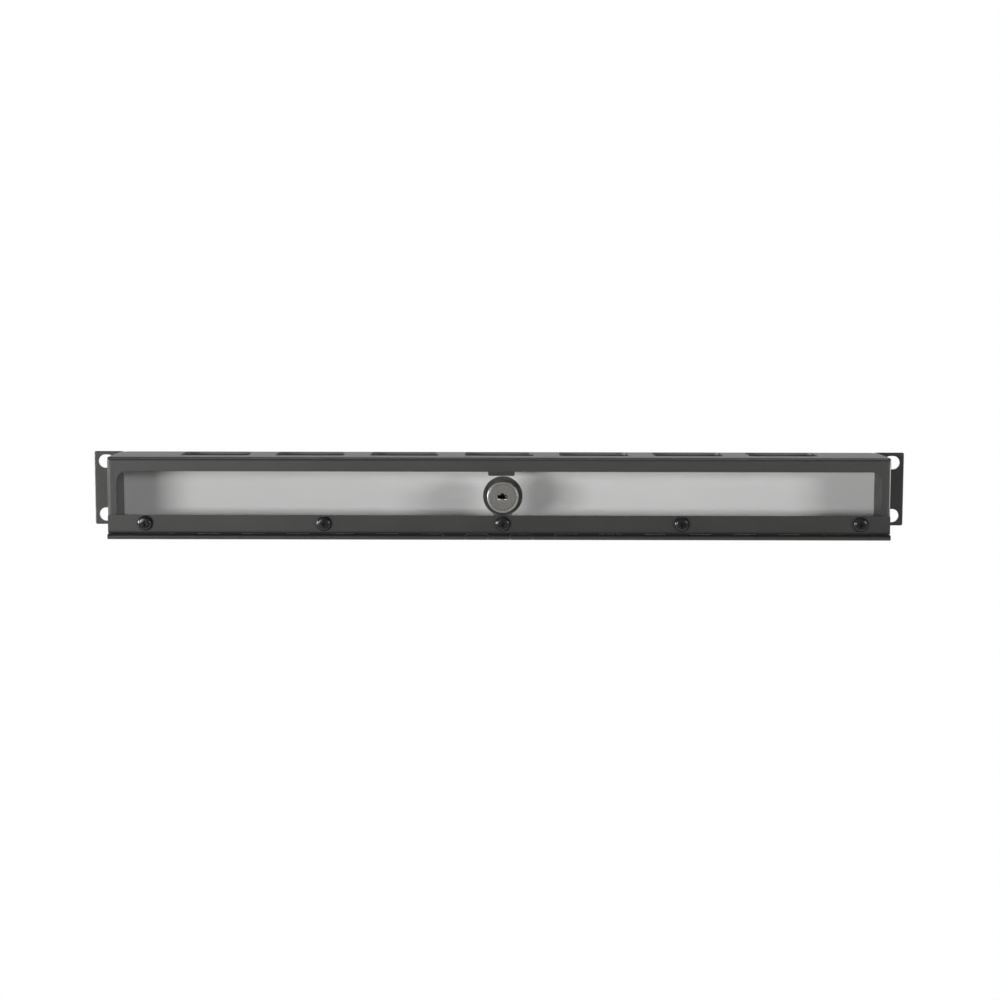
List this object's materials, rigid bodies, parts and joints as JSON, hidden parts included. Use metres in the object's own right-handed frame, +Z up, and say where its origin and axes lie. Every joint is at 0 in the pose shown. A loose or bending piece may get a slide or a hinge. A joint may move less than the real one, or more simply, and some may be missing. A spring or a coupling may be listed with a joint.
{
  "type": "lockable rack security panel",
  "caption": "One-unit rack security cover: a folded steel frame with rack ears and a slotted top, closed by a clear pane that swings down on a continuous hinge and has a cam lock.",
  "frame": {"origin": "centre of the rack mounting plane, midway between the slots, on the back face of the ears", "axes": "+X to the right seen from the front, +Y to the back into the rack, +Z up; the pane faces -Y"},
  "size_m": [0.4826, 0.0538, 0.0467],
  "materials": {
    "powder_black": "satin black powder coat",
    "black_hardware": "glossy black plated steel",
    "clear_acrylic": "clear cast sheet with polished faces",
    "bright_nickel": "nickel-plated die casting",
    "dark_zinc": "dark zinc-plated steel",
    "zinc_steel": "bright zinc-plated steel",
    "brass": "stamped brass"
  },
  "bodies": {
    "frame": {"frame_shell": "powder_black", "bottom_plate": "powder_black", "strike_bracket": "powder_black", "hinge_lower_leaf": "powder_black", "hinge_pin": "dark_zinc", "hinge_rivets": "black_hardware"},
    "door": {"window_pane": "clear_acrylic", "hinge_upper_leaf": "powder_black", "leaf_screws": "black_hardware", "leaf_washers": "zinc_steel", "leaf_nuts": "zinc_steel", "lock_body": "bright_nickel", "lock_washer": "dark_zinc", "lock_nut": "dark_zinc"},
    "lock_core": {"lock_plug": "bright_nickel", "lock_wafers": "brass", "stop_washer": "zinc_steel", "lock_cam": "zinc_steel", "cam_washer": "zinc_steel", "cam_screw": "zinc_steel"}
  },
  "joints": [
    {"name": "door_swing", "type": "hinge", "parent": "frame", "child": "door", "pos_m": [0, -0.04985, -0.0234], "axis": [1, 0, 0], "range_deg": [0, 180]},
    {"name": "lock_turn", "type": "hinge", "parent": "door", "child": "lock_core", "pos_m": [0.0021, -0.04, 0], "axis": [0, 1, 0], "range_deg": [0, 180]}
  ]
}
